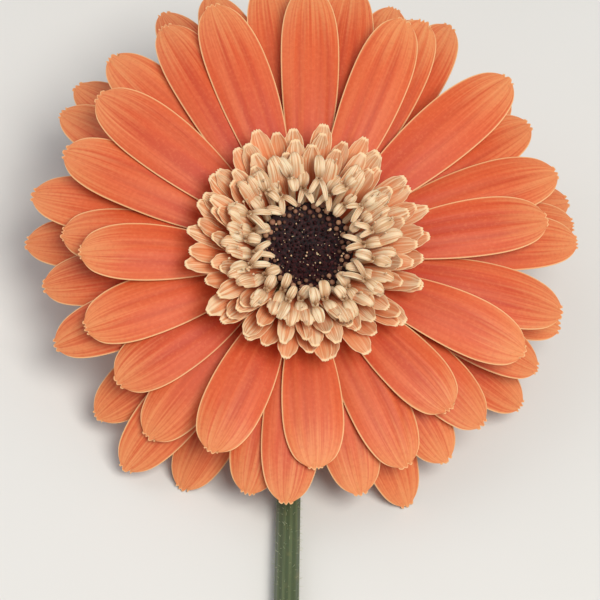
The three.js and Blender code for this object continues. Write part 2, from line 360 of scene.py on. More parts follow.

# From the root to the tip; the darker root is partly the petal's own red and partly painted shade.
root_colour_and_shade, mid_colour = tint(190, 48, 14), tint(218, 88, 40)
skin = petal.blend(petal.rise(along, 0.05, 0.7), root_colour_and_shade, mid_colour)
skin = petal.blend(petal.rise(broad_veins, 0.42, 0.68, 0.55), skin, tint(230, 118, 70))
# Darker, redder lines between the veins. Down the grooves and creases the red deepens, partly the
# petal's own colour and partly painted shade.
skin = petal.blend(petal.rise(fine_veins, 0.54, 0.30, 0.34), skin, tint(194, 60, 26))
fade = petal.rise(along, 1.0, 0.7)
groove_colour_and_shade = petal.math("MULTIPLY", petal.math("MULTIPLY", groove, fade), 0.62)
skin = petal.blend(groove_colour_and_shade, skin, tint(178, 46, 18))
# Peach streaks that gather towards the tip.
toward_tip = petal.math("MULTIPLY_ADD", fine_veins, 0.55, along)
skin = petal.blend(petal.rise(toward_tip, 0.94, 1.4, 0.8), skin, tint(240, 168, 108))
# Each petal is a little lighter or darker than its neighbours.
skin = petal.blend(petal.math("MULTIPLY", tone, 0.16), skin, tint(242, 134, 78))
skin = petal.blend(petal.math("MULTIPLY", petal.math("SUBTRACT", 1.0, tone), 0.13), skin, tint(180, 54, 22))
# Small cells lighter and darker than the rest.
skin = petal.blend(petal.rise(mottle, 0.5, 0.72, 0.14), skin, tint(240, 142, 88))
skin = petal.blend(petal.rise(mottle, 0.5, 0.3, 0.16), skin, tint(190, 60, 20))
# The underside, then the cream rim over all.
under = petal.blend(petal.rise(fine_veins, 0.35, 0.65), tint(214, 114, 66), tint(236, 160, 106))
skin = petal.blend(upper, under, skin)
skin = petal.blend(petal.rise(rim, 0.12, 0.75, 0.86), skin, tint(246, 194, 138))
petal.colour(skin)
petal.bump(fine_veins, 0.22, 0.0002)

# %% [markdown]
# ## Ray petals
#
# There are fifty-two of them, and each is its own piece. The CAD blade gives a petal's direction,
# root, reach, breadth and side view. The finished petal adds what makes it a petal: a crowned
# back, two to four shallow grooves, small notches with short creases at the tip, a waved edge, a
# slight twist and a slight bend to one side. Chance numbers are seeded by the petal's own number,
# so each one is different and every run gives the same flower. Those that rest on the surface in
# the CAD model still just touch it.

# %% Ray petals
PETAL_COUNT = 52
PETAL_ROWS, PETAL_COLUMNS = 46, 25
PETAL_THICKNESS = 0.34
PETAL_WIDEST = 0.64  # where along its length a petal is broadest
ROOT_REACH_IN = 0.5  # the finished root reaches this much further in, to meet the receptacle
RESTS_BELOW = 0.0004  # metres: a petal with its lowest point under this rests on the surface
GOLDEN_SHARE = 0.618034  # spreads the petals' tones evenly, whatever their number


def petal_outline(share):
    """Half a petal's breadth as a share of its widest, at a share of its length."""
    swelling = 0.32 + 0.68 * np.sin(np.pi / 2 * np.clip(share / PETAL_WIDEST, 0, 1)) ** 0.9
    past = np.clip((share - PETAL_WIDEST) / (1 - PETAL_WIDEST), 0, 1)
    return np.minimum(swelling, np.sqrt(np.maximum(0.06, 1 - past**2.4)))


def petal_measures(node):
    """Direction, root, reach, half breadth and side view of a CAD petal."""
    points = in_head(node_points(node))
    angle = math.atan2(points[:, 1].mean(), points[:, 0].mean())
    flat = spun(points, -angle)
    outwards, sideways, up = flat.T
    edge = abs(sideways) > 0.05
    stations = np.unique(outwards[edge].round(1))
    tops = [up[edge & (abs(outwards - u) < 0.1)].max() for u in stations]
    side_view = np.polyfit(stations, tops, 2)
    rests = node_points(node)[:, 2].min() < RESTS_BELOW
    return angle, outwards.min(), outwards.max(), abs(sideways).max(), side_view, rests


def grown_petal(node, number):
    angle, root, reach, half_breadth, side_view, rests = petal_measures(node)
    chance = np.random.default_rng(700 + number)
    t = columns(PETAL_COLUMNS)
    share = 1 - (1 - np.linspace(0, 1, PETAL_ROWS)) ** 1.55
    outwards = root - ROOT_REACH_IN + (reach - root + ROOT_REACH_IN) * share
    half = half_breadth * petal_outline(share)

    s = share[:, None]
    spread = (half / half_breadth)[:, None]
    y = spread * t  # place across as a share of the petal's widest half
    lift = chance.uniform(0.9, 1.35) * (spread**2 - y**2) * ramp_up(s, 0.0, 0.4)
    gather = 1 - 0.5 * ramp_up(s, 0.62, 1.0)
    centres = [chance.uniform(-0.4, -0.22), chance.uniform(0.18, 0.38)]
    if chance.random() < 0.4:
        centres.append(chance.uniform(-0.08, 0.08))
    if chance.random() < 0.35:
        centres.append(chance.choice([-1, 1]) * chance.uniform(0.58, 0.7))
    grooves = np.zeros_like(lift)
    for centre in centres:
        wander = centre * gather + 0.03 * np.sin(5 * s + chance.uniform(0, 6))
        valley = np.exp(-(((y - wander) / (chance.uniform(0.08, 0.15) * gather)) ** 2))
        grooves = np.maximum(grooves, valley * chance.uniform(0.5, 1.0))
    deep = ramp_up(s, 0.02, 0.35) * (1 - 0.45 * ramp_up(s, 0.85, 1.0))
    lift = lift - chance.uniform(0.16, 0.32) * grooves * deep
    # Small notches close together at the middle of the tip, each with a short crease behind it.
    if chance.random() < 0.55:
        notch_places = np.array([-0.1, 0.1]) + chance.normal(0, 0.025, 2)
    else:
        notch_places = np.array([-0.15, 0.0, 0.15]) + chance.normal(0, 0.02, 3)
    notches = np.zeros_like(lift)
    for centre in notch_places:
        line = centre * (1 + 1.2 * (1 - s))
        notch = np.exp(-(((y - line) / 0.04) ** 2)) * chance.uniform(0.45, 1.0)
        notches = np.maximum(notches, notch)
    creases = notches * ramp_up(s, 0.78, 0.97)
    lift = lift - 0.2 * creases
    wave = np.sin(2 * np.pi * (s * chance.uniform(1.0, 1.8) + chance.random())) * np.sign(t) * t**2
    lift = lift + chance.uniform(0.08, 0.24) * wave * ramp_up(s, 0.2, 0.6) * spread
    twist = math.radians(chance.uniform(-5, 5)) * ramp_up(s, 0.1, 1.0)
    lift = lift + half[:, None] * t * np.sin(twist)
    forward = -0.75 * notches * ramp_up(s, 0.94, 1.0) - 0.5 * abs(t) ** 3 * ramp_up(s, 0.9, 1.0)
    thickness = PETAL_THICKNESS * (1 - 0.62 * t**4) * (1 - 0.35 * s)

    bend = chance.uniform(-0.8, 0.8) * ramp_up(share, 0.15, 1.0)
    tone = (number * GOLDEN_SHARE) % 1.0

    def petal_at(raised):
        path = np.stack([outwards, np.polyval(side_view, outwards) + raised * share**2], -1)
        # The grooves and creases are marked for the finish, which paints them darker red, partly as painted
        # shade.
        marks = np.maximum(grooves * deep, creases)
        rings, place, look = strap(path, half, lift, thickness, forward, tone, 0.36, marks)
        rings[..., 1] += bend[:, None]
        return spun(rings, angle), place, look

    rings, place, look = petal_at(0.0)
    if rests:
        above = from_head(rings.reshape(-1, 3))[:, 2].min() / MM
        rings, place, look = petal_at(-above / math.cos(HEAD_LEAN))
    return rings, place, look


for number in range(1, PETAL_COUNT + 1):
    node = f"ray_petal_{number:02d}"
    sheaf = Sheaf()
    sheaf.add(*grown_petal(node, number))
    make_piece(f"petal_{number:02d}", sheaf, petal.material, [node])
print("Ray petals:", PETAL_COUNT, "each with", len(np.concatenate(sheaf.faces)), "faces")

# %% [markdown]
# ## Trans florets: the short straps round the eye
#
# Three rows of short straps stand inside the petals. The two outer rows are salmon tongues with a
# cream rim and three to five teeth. The inner row is cream, and its tips are hooded like the back
# of a spoon. They could be instances of one strap, but then all would be alike. Each is
# lofted by itself with its own length, breadth, lean and teeth, and a row is gathered in a Sheaf.

# %% Trans floret finish
floret = Finish(
    "floret_skin", "trans_floret", 0.55,
    Specular_IOR_Level=0.3, Subsurface_Weight=0.1, Subsurface_Scale=0.0008,
    Subsurface_Radius=(1.0, 0.45, 0.25), Sheen_Weight=0.03,
)

across, along, tone = floret.note("place")
rim, upper, cream = floret.note("look")
fine_veins = veins(floret, across, along, tone, 5.5, 1.3)
salmon = floret.blend(floret.rise(along, 0.2, 0.8), tint(208, 90, 48), tint(240, 146, 94))
salmon = floret.blend(floret.rise(fine_veins, 0.46, 0.7, 0.55), salmon, tint(244, 178, 118))
salmon = floret.blend(floret.rise(fine_veins, 0.42, 0.26, 0.5), salmon, tint(208, 92, 44))
# The marked florets turn to cream, most of all at their tips.
pale = floret.blend(floret.rise(fine_veins, 0.36, 0.62), tint(212, 150, 104), tint(242, 212, 172))
toward_tip = floret.math("MULTIPLY_ADD", fine_veins, 0.35, along)
tipped = floret.math("MULTIPLY", floret.rise(toward_tip, 0.64, 1.2), cream)
skin = floret.blend(floret.math("MULTIPLY", tipped, 1.25, clamp=True), salmon, pale)
# Painted shade: each floret turns darker brown towards its foot, where the rows crowd together.
skin = floret.blend(floret.rise(along, 0.45, 0.05, 0.5), skin, tint(150, 78, 46))
under = floret.blend(floret.rise(fine_veins, 0.35, 0.65), tint(212, 128, 86), tint(236, 188, 142))
skin = floret.blend(upper, under, skin)
skin = floret.blend(floret.rise(rim, 0.1, 0.7, 0.92), skin, tint(248, 212, 166))
floret.colour(skin)
floret.bump(fine_veins, 0.25, 0.00015)

# %% Trans florets
TONGUE_ROWS, TONGUE_COLUMNS = 20, 13


def tongue(chance, knots, breadth, cup, teeth, cream, tooth=0.3, blunt=0.48):
    """One short strap with its upper side cupped, or crowned where cup is negative."""
    path = smooth_path(knots, TONGUE_ROWS)
    s = np.linspace(0, 1, TONGUE_ROWS)
    t = columns(TONGUE_COLUMNS)
    swelling = 0.36 + 0.64 * ramp_up(s, 0.1, 0.6)
    closing = np.sqrt(np.clip(1 - np.clip((s - 0.7) / 0.3, 0, 1) ** 2.6, blunt**2, 1))
    half = breadth / 2 * np.minimum(swelling, closing)
    rows = s[:, None]
    lift = cup * half[:, None] * (t**2 - 0.3) * ramp_up(rows, 0.3, 0.8)
    lift = lift + 0.05 * np.cos(t * 2.5 * np.pi + chance.uniform(-0.5, 0.5)) * ramp_up(rows, 0.3, 0.6)
    saw = 0.5 + 0.5 * np.cos(np.pi * (t * teeth + (teeth + 1) % 2))
    jagged = tooth * chance.uniform(0.7, 1.3) * (saw - 1) - 0.3 * abs(t) ** 3
    forward = jagged * ramp_up(rows, 0.86, 1.0)
    thickness = 0.3 * (1 - 0.55 * t**4) * np.ones_like(rows)
    return strap(path, half, lift, thickness, forward, chance.random(), 0.24, cream)


def add_tongue(sheaf, chance, angle, knots, *shape, **more):
    rings, place, look = tongue(chance, knots, *shape, **more)
    foot = np.array([knots[0][0], 0.0, knots[0][1]])
    rings = swung(rings, foot, math.radians(chance.normal(0, 3)), math.radians(chance.normal(0, 8)))
    sheaf.add(spun(rings, angle), place, look)


def varied(knots, length, lift):
    """Knots whose outer ones are stretched outwards and raised."""
    knots = np.array(knots, float)
    share = np.linspace(0, 1, len(knots))[:, None] ** 1.5
    foot = knots[0]
    return foot + (knots - foot) * (1 + share * [length, 0]) + share * [0, lift]


def row_of_tongues(name, seed, count, turn, build):
    chance = np.random.default_rng(seed)
    sheaf = Sheaf()
    for i in range(count):
        angle = math.radians(turn) + 2 * math.pi * (i + chance.uniform(-0.18, 0.18)) / count
        build(sheaf, chance, angle, i)
    piece = make_piece(name + "_row", sheaf, floret.material, [name])
    print(name, "has", count, "florets and", len(piece.data.polygons), "faces")


def salmon_tongues(foot, long_tip, short_tip, stretch, breadths, palest):
    """A maker of one salmon row, whose florets are long and short in turn."""

    def build(sheaf, chance, angle, i):
        long = i % 2 == 0
        knots = foot + [long_tip if long else short_tip]
        knots = varied(knots, chance.uniform(*stretch), 0.0 if long else 0.4)
        breadth, teeth = chance.uniform(*breadths), chance.integers(3, 6)
        add_tongue(sheaf, chance, angle, knots, breadth, 0.22, teeth, chance.uniform(palest, 1.0))

    return build


def hooded_tongue(sheaf, chance, angle, i):
    knots = [[7.6, 0.6], [8.6, 2.2], [11.2, 4.9], [14.0, 8.6], [16.3, 10.9], [18.2, 11.4], [19.0, 10.6]]
    knots = varied(knots, chance.uniform(-0.2, 0.0), chance.uniform(-0.6, 0.3))
    breadth = chance.uniform(3.0, 3.7)
    add_tongue(sheaf, chance, angle, knots, breadth, -0.5, 3, 1.25, tooth=0.3, blunt=0.5)


OUTER_FOOT = [[10.6, 0.5], [12.4, 1.4], [15.6, 3.0], [20.2, 6.4]]
MIDDLE_FOOT = [[9.0, 0.6], [10.0, 1.9], [13.4, 4.2], [17.4, 8.0]]
outer_tongue = salmon_tongues(OUTER_FOOT, [24.9, 9.3], [23.6, 9.1], (-0.1, 0.04), (3.7, 4.5), 0.35)
middle_tongue = salmon_tongues(MIDDLE_FOOT, [21.4, 10.5], [20.0, 10.2], (-0.12, 0.03), (3.5, 4.2), 0.4)
row_of_tongues("trans_florets_outer", 11, 44, 0, outer_tongue)
row_of_tongues("trans_florets_middle", 12, 38, 5, middle_tongue)
row_of_tongues("trans_florets_inner", 13, 30, 2, hooded_tongue)

# %% [markdown]
# ## Opened disc florets
#
# Between the straps and the dark eye stands a ring of small opened florets. Each is a tube that
# splits at its mouth. One broad lip rolls outwards. Towards the eye about half of them curl one
# more broad lip, and the others part into two narrow lips like a letter V. A column of joined
# anthers stands in the middle. The lips are straps again, but their side view is an arc that curls
# over, which is easiest to write as a circle's turn.

# %% Disc floret finish
disc = Finish(
    "disc_floret_skin", "disc_floret", 0.6,
    Specular_IOR_Level=0.25, Subsurface_Weight=0.1, Subsurface_Scale=0.0006,
)
across, along, tone = disc.note("place")
rim, _, anther_brown_and_tube_shade = disc.note("look")
fine_veins = veins(disc, across, along, tone, 3.2, 1.1)
cream = disc.blend(disc.rise(fine_veins, 0.35, 0.65), tint(200, 154, 112), tint(240, 216, 180))
# Painted shade: brown towards the foot of every lip and tube, under the curled lips.
cream = disc.blend(disc.rise(along, 0.55, 0.0, 0.75), cream, tint(148, 96, 58))
cream = disc.blend(disc.math("MULTIPLY", tone, 0.25), cream, tint(226, 176, 122))
# The anther columns are brown by their own colour; the tubes' small mark adds the same brown as painted
# shade between the florets.
skin = disc.blend(anther_brown_and_tube_shade, cream, disc.blend(fine_veins, tint(92, 50, 30), tint(176, 122, 76)))
skin = disc.blend(disc.rise(rim, 0.2, 0.9, 0.5), skin, tint(244, 228, 192))
disc.colour(skin)
disc.bump(fine_veins, 0.25, 0.00012)

# %% Opened disc florets
LIP_ROWS, LIP_COLUMNS = 16, 9


def curl(start, heading, radius, sweep, count):
    """A side view that sets out at a heading and turns over by sweep, both in degrees."""
    turned = np.radians(heading - np.linspace(0, sweep, count))
    sweep_rad = math.radians(abs(sweep))
    step = radius * sweep_rad / (count - 1)
    steps = np.stack([np.cos(turned), np.sin(turned)], -1) * step
    return np.array(start) + np.concatenate([[[0, 0]], np.cumsum(steps[:-1], axis=0)])


def lip(chance, radius, sweep, heading, breadth, crown):
    """A curling lip that starts at the origin and leans outwards."""
    path = curl([0.0, 0.0], heading, radius, sweep, LIP_ROWS)
    s = np.linspace(0, 1, LIP_ROWS)
    t = columns(LIP_COLUMNS)
    half = breadth / 2 * (0.62 + 0.38 * ramp_up(s, 0, 0.4)) * np.sqrt(np.clip(1 - s**6, 0.3, 1))
    lift = -crown * half[:, None] * t**2 + 0.03 * np.cos(3 * np.pi * t)
    thickness = 0.15 * np.ones_like(lift)
    return strap(path, half, lift, thickness, 0.0, chance.random(), 0.16, 0.0)


def tube(path, radii, sides=10):
    """Rings round an upright-plane path, for tubes, columns and stalks."""
    run = np.gradient(path, axis=0)
    run /= np.linalg.norm(run, axis=1, keepdims=True)
    turn = np.arange(sides) * 2 * math.pi / sides
    out = np.stack([-run[:, 1], run[:, 0]], -1)
    reach = np.asarray(radii)[:, None]
    plane = path[:, None] + out[:, None] * (reach * np.cos(turn))[..., None]
    return np.stack([plane[..., 0], reach * np.sin(turn), plane[..., 1]], -1)


def tube_notes(rings, tone, mark):
    rows, sides = rings.shape[:2]
    along = np.linspace(0, 1, rows)[:, None] * np.ones(sides)
    across = np.cos(np.arange(sides) * 2 * math.pi / sides) * np.ones((rows, 1))
    place = np.stack([across, along, np.full_like(along, tone)], -1)
    look = np.stack([np.zeros_like(along), np.ones_like(along), np.full_like(along, mark)], -1)
    return place, look


def opened_floret(sheaf, chance, angle, mouth, kind):
    """A tube up to its mouth, which is an [outwards, up] point, and the lips round it."""
    foot = [6.2 + chance.uniform(-0.3, 0.3), 0.5]
    knots = [foot, [foot[0] + 0.9, 2.2], [9.6, 4.8], mouth]
    path = smooth_path(knots, 14)
    body = tube(path, np.linspace(0.34, 0.72, 14) + 0.12 * np.sin(np.linspace(0, 3, 14)))
    # The tube's mark of 0.15 darkens it a little, as painted shade between the florets.
    sheaf.add(spun(body, angle), *tube_notes(body, chance.random(), 0.15))
    top = np.array([mouth[0], 0.0, mouth[1]])

    def place_lip(made, facing, shift):
        rings, place, look = made
        rings = spun(rings, facing) + top + np.array(shift)
        sheaf.add(spun(rings, angle), place, look)

    radius, sweep = chance.uniform(2.2, 3.0), chance.uniform(75, 115)
    outer = lip(chance, radius, sweep, 58, chance.uniform(2.0, 2.7), 0.14)
    place_lip(outer, chance.uniform(-0.3, 0.3), [0.2, 0.0, -0.5])
    if kind == "curled":
        radius, sweep = chance.uniform(1.5, 1.9), chance.uniform(130, 165)
        inner = lip(chance, radius, sweep, 84, chance.uniform(1.7, 2.3), 0.1)
        place_lip(inner, math.pi + chance.uniform(-0.5, 0.5), [-0.2, 0.0, -0.1])
    else:
        spread = math.radians(chance.uniform(16, 30))
        for way in (-1, 1):
            radius, sweep = chance.uniform(2.2, 2.9), chance.uniform(85, 125)
            narrow = lip(chance, radius, sweep, 66, chance.uniform(1.0, 1.35), 0.05)
            place_lip(narrow, math.pi + way * spread, [-0.2, -way * 0.2, -0.1])
    column_path = curl([0.0, -0.4], 95 + chance.uniform(-12, 12), 9.0, chance.uniform(8, 14), 8)
    column = tube(column_path, [0.3, 0.3, 0.28, 0.27, 0.26, 0.25, 0.24, 0.12], 8)
    sheaf.add(spun(column + top, angle), *tube_notes(column, chance.random(), chance.uniform(0.45, 0.9)))


OPENED = 30
chance = np.random.default_rng(14)
sheaf = Sheaf()
for i in range(OPENED):
    angle = 2 * math.pi * (i + chance.uniform(-0.2, 0.2)) / OPENED
    inner_ring = i % 2 == 0
    mouth = [11.2, 8.0] if inner_ring else [13.2, 10.2]
    mouth = [mouth[0] + chance.uniform(-0.4, 0.4), mouth[1] + chance.uniform(-0.35, 0.35)]
    kind = "curled" if chance.random() < 0.5 else "forked"
    opened_floret(sheaf, chance, angle, mouth, kind)
disc_row = make_piece("disc_florets_open_row", sheaf, disc.material, ["disc_florets_open"])
print("Opened disc florets:", OPENED, "with", len(disc_row.data.polygons), "faces")

# %% [markdown]
# ## The dark eye: closed buds
#
# The middle of the flower is a shallow dish of closed buds. They grow in spirals, each turned from
# the last by the golden angle, which is how a seed head packs itself. The buds are small and nearly
# black in the middle, and larger, rounder and tan at the edge, where they will open next.
# Each bud is a small turned form, not a sphere: it has a stalk, a swelling and a blunt point with
# five faint lobes.

# %% Bud finish
bud_skin = Finish("bud_skin", "disc_bud", 0.6, Specular_IOR_Level=0.18)
_, along, tone = bud_skin.note("place")
ripe = bud_skin.note("look")[0]
speckle = bud_skin.object_noise(2600.0, 2.0)
dark = bud_skin.blend(bud_skin.rise(speckle, 0.4, 0.62), tint(12, 3, 5), tint(60, 18, 20))
tan = bud_skin.blend(tone, tint(146, 98, 80), tint(206, 156, 120))
# Painted shade: a ripe bud is dark towards its foot, low among its neighbours, and tan only on its top.
tan = bud_skin.blend(bud_skin.rise(along, 0.75, 0.35), tan, tint(60, 28, 28))
skin = bud_skin.blend(ripe, dark, tan)
skin = bud_skin.blend(bud_skin.rise(speckle, 0.68, 0.8, 0.5), skin, tint(120, 74, 74))
bud_skin.colour(skin)
bud_skin.bump(speckle, 0.2, 0.0001)

# %% Closed buds
BUD_COUNT = 190
EYE_RADIUS = 9.4
DISH_FLOOR, DISH_RISE = 3.4, 1.9  # the dish's height at the axis, and its rise to the edge
GOLDEN_ANGLE = math.radians(137.508)


def dish_height(radius):
    """Height of the eye's floor at a distance from the axis."""
    return DISH_FLOOR + DISH_RISE * (radius / EYE_RADIUS) ** 2


def turned(profile, sides, tone, ripe):
    """Rings turned about an upright line through the origin, from a [radius, height] profile."""
    turn = np.arange(sides) * 2 * math.pi / sides
    radius, height = np.array(profile, float).T
    lobes = 1 + 0.05 * np.cos(5 * turn) * np.linspace(0, 1, len(radius))[:, None]
    reach = radius[:, None] * lobes
    rings = np.stack([reach * np.cos(turn), reach * np.sin(turn), height[:, None] * np.ones(sides)], -1)
    along = np.linspace(0, 1, len(radius))[:, None] * np.ones(sides)
    place = np.stack([np.cos(turn) * np.ones_like(along), along, np.full_like(along, tone)], -1)
    look = np.stack([np.full_like(along, ripe), np.ones_like(along), np.zeros_like(along)], -1)
    return rings, place, look


chance = np.random.default_rng(15)
sheaf = Sheaf()
floor_radii = np.linspace(0.02, EYE_RADIUS, 26)
floor_top = [[r, dish_height(r)] for r in floor_radii]
floor_profile = [[0.02, 0.4], [5.0, 0.4], [6.0, 2.4], [9.0, 4.8]] + floor_top[::-1]
rings, place, look = turned(floor_profile, 72, 0.2, 0.0)
grain = chance.normal(0, 0.05, rings.shape[:2])
rings[..., 2] += np.where(rings[..., 2] > DISH_FLOOR - 0.1, grain, 0.0)
sheaf.add(rings, place, look)
for i in range(BUD_COUNT):
    radius = EYE_RADIUS * ((i + 0.5) / BUD_COUNT) ** 0.74
    angle = i * GOLDEN_ANGLE
    outer = radius / EYE_RADIUS
    size = (0.24 + 0.44 * outer**3) * chance.uniform(0.8, 1.15)
    ripe = float(np.clip((outer - 0.66) / 0.2, 0, 1)) * chance.uniform(0.6, 1.0)
    neck = [[0.45, -1.2], [0.42, -0.6], [0.62, -0.35]]
    ball = [[0.86, 0.0], [0.99, 0.35], [1.0, 0.62], [0.9, 0.98], [0.66, 1.26], [0.36, 1.4], [0.08, 1.44]]
    rings, place, look = turned(np.array(neck + ball) * size, 12, chance.random(), ripe)
    rings = swung(rings, np.zeros(3), 0.0, math.radians(chance.normal(0, 6)))
    lean = 0.25 * outer
    x, y, z = rings[..., 0], rings[..., 1], rings[..., 2]
    c, s = math.cos(lean), math.sin(lean)
    rings = np.stack([x * c - z * s, y, z * c + x * s], -1)
    height = dish_height(radius) + size * 0.35 + chance.uniform(0, 0.25)
    rings = rings + np.array([radius + chance.normal(0, 0.14), chance.normal(0, 0.14), height])
    sheaf.add(spun(rings, angle), place, look)
buds = make_piece("disc_buds_packed", sheaf, bud_skin.material, ["disc_buds"])
print("Buds:", BUD_COUNT, "with", len(buds.data.polygons), "faces")

# %% [markdown]
# ## Pollen
#
# Cream grains of pollen lie on the dark buds, and a few small beads stand on threads among the
# curled lips. They are tiny, but against the dark eye they are the brightest things on it.

# %% Pollen grains and beads
GRAINS = 110
BEADS = 46
GRAIN_PALENESS = 0.9  # the place along a floret whose pale cream the grains take
chance = np.random.default_rng(16)
sheaf = Sheaf()
grain_profile = np.array([[0.1, -1.0], [0.75, -0.7], [1.0, 0.0], [0.75, 0.7], [0.1, 1.0]])
for i in range(GRAINS):
    radius = EYE_RADIUS * math.sqrt(chance.random()) * 0.96
    size = chance.uniform(0.07, 0.14) if chance.random() < 0.85 else chance.uniform(0.17, 0.26)
    stretched = grain_profile * [size, size * chance.uniform(0.8, 1.6)]
    rings, place, look = turned(stretched, 8, chance.random(), 0.0)
    rings = swung(rings, np.zeros(3), chance.uniform(0, 6), chance.uniform(0.6, 2.4))
    outer = radius / EYE_RADIUS
    top = dish_height(radius) + (0.26 + 0.32 * outer**2) * 1.85
    rings = rings + np.array([radius, 0.0, top + chance.uniform(-0.1, 0.15)])
    place[..., 1] = GRAIN_PALENESS
    sheaf.add(spun(rings, chance.uniform(0, 2 * math.pi)), place, look)
for i in range(BEADS):
    foot = chance.uniform(12.5, 17.0)
    low = 8.0 + (foot - 12.5) * 0.4
    lean = chance.uniform(0.1, 0.9)
    path = smooth_path([[foot, low], [foot + 0.3, low + 1.6], [foot + lean, low + 3.3]], 7)
    thread = tube(path, np.full(7, 0.09), 6)
    size = chance.uniform(0.2, 0.32)
    bead, place, look = turned(grain_profile * size, 8, chance.random(), 0.0)
    bead = bead + np.array([path[-1][0], 0.0, path[-1][1]])
    angle = chance.uniform(0, 2 * math.pi)
    sheaf.add(spun(thread, angle), *tube_notes(thread, 0.3, 0.1))
    sheaf.add(spun(bead, angle), place, look)
make_piece("pollen_grains", sheaf, disc.material)
print("Pollen:", GRAINS, "grains and", BEADS, "beads")

# %% [markdown]
# ## Bracts and their cup
#
# Behind the petals a cup of narrow green bracts holds the head together. They overlap like roof
# tiles, each one a keeled blade with a pale margin and a dull red point. The cup they grow
# from is one turned form.

# %% Bract finish
bract_skin = Finish(
    "bract_skin", "bract", 0.62,
    Specular_IOR_Level=0.3, Sheen_Weight=0.2, Sheen_Roughness=0.6,
)
across, along, tone = bract_skin.note("place")
rim = bract_skin.note("look")[0]
fine_veins = veins(bract_skin, across, along, tone, 4.5, 1.0)
green = bract_skin.blend(bract_skin.rise(fine_veins, 0.35, 0.65), tint(66, 92, 44), tint(112, 138, 74))
green = bract_skin.blend(bract_skin.math("MULTIPLY", tone, 0.35), green, tint(88, 104, 52))
green = bract_skin.blend(bract_skin.rise(along, 0.8, 1.0, 0.7), green, tint(118, 72, 56))
green = bract_skin.blend(bract_skin.rise(rim, 0.3, 0.95, 0.5), green, tint(160, 170, 112))
bract_skin.colour(green)
bract_skin.bump(fine_veins, 0.3, 0.0002)

# %% Bracts
BRACT_ROWS = [
    (13, 0, [[5.4, -10.8], [8.2, -10.75], [11.0, -10.1], [12.6, -9.5]], 4.2),
    (16, 14, [[7.6, -9.9], [10.6, -9.75], [13.6, -8.7], [15.6, -7.9]], 4.4),
    (21, 3, [[10.4, -8.7], [13.4, -8.0], [16.6, -7.1], [19.4, -6.7]], 4.2),
]
CUP_PROFILE = [
    [0.05, -9.7], [4.6, -9.7], [7.4, -9.0], [9.9, -8.0], [11.5, -6.9], [12.6, -6.15], [13.4, -6.1],
    [13.9, -6.5], [13.6, -7.3], [12.6, -8.4], [11.0, -9.6], [8.6, -10.7], [6.2, -11.5], [4.9, -11.9],
    [0.05, -11.9],
]


def bract(chance, knots, breadth):
    """A narrow blade with a keel down its outer side."""
    path = smooth_path(knots, 18)
    s = np.linspace(0, 1, 18)
    t = columns(11)
    half = breadth / 2 * np.minimum(0.7 + 0.3 * ramp_up(s, 0, 0.4), 1.02 - s**2.2) + 0.1
    lift = 0.24 * half[:, None] * t**2 * np.ones((18, 1))
    keel = 0.25 * np.exp(-((t / 0.16) ** 2)) * (1 - s[:, None])
    thickness = 0.32 * (1 - 0.6 * t**2) + keel
    return strap(path, half, lift, thickness, 0.0, chance.random(), 0.35, 0.0)


chance = np.random.default_rng(17)
sheaf = Sheaf()
sheaf.add(*turned(smooth_path(CUP_PROFILE, 60), 72, 0.4, 0.0))
for count, turn_by, knots, breadth in BRACT_ROWS:
    for i in range(count):
        angle = math.radians(turn_by) + 2 * math.pi * (i + chance.uniform(-0.12, 0.12)) / count
        line = varied(knots, chance.uniform(-0.06, 0.05), chance.uniform(-0.15, 0.1))
        rings, place, look = bract(chance, line, breadth * chance.uniform(0.9, 1.08))
        sheaf.add(spun(rings, angle), place, look)
make_piece("involucre_bract_rows", sheaf, bract_skin.material, ["involucre_bracts"])
print("Bracts:", sum(row[0] for row in BRACT_ROWS))

# %% [markdown]
# ## The receptacle
#
# The receptacle is the cushion that every floret grows from. Nearly all of it is hidden, but it can
# be glimpsed between the feet of the florets and above the bracts. It is a turned form with a ring of
# small pits in its top, one for each floret that would lift out of it.

# %% Receptacle
core = Finish("receptacle_skin", "receptacle", 0.75)
mottle = core.object_noise(900.0, 3.0)
core.colour(core.blend(core.rise(mottle, 0.35, 0.65), tint(112, 100, 62), tint(168, 160, 104)))
core.bump(mottle, 0.4, 0.0003)

RECEPTACLE_PROFILE = [
    [0.05, -9.5], [4.5, -9.5], [7.2, -8.7], [9.6, -7.3], [11.2, -6.0], [11.8, -5.2], [11.8, -2.6],
    [11.8, -0.7], [11.3, -0.1], [9.5, 0.0], [6.0, 0.0], [0.05, 0.0],
]
rings, place, look = turned(smooth_path(RECEPTACLE_PROFILE, 70), 96, 0.5, 0.0)
reach = np.linalg.norm(rings[..., :2], axis=-1)
round_it = np.arctan2(rings[..., 1], rings[..., 0])
pits = np.cos(24 * round_it) * np.cos(reach * 4.0)
rings[..., 2] -= 0.12 * (1 - pits) * (rings[..., 2] > -0.2)
sheaf = Sheaf()
sheaf.add(rings, place, look)
make_piece("receptacle_cushion", sheaf, core.material, ["receptacle"])
print("Receptacle turned with", len(rings), "rings")

# %% [markdown]
# ## Stem
#
# The stem swells where it meets the head, bends over and lies along the surface to its cut end. Its
# line is read back from the CAD stem: the bend is part of a circle below the neck, and the rest is
# found by gathering the CAD points that share a place along the stem. A fresh stem is ribbed and
# softly hairy. The ribs are a small wave in the radius, and the hairs are thin spikes, because
# particle hair isn't a mesh and would be lost when the model is handed on. The cut face
# is pale, a little hollow, and has a darker ring just under the skin.

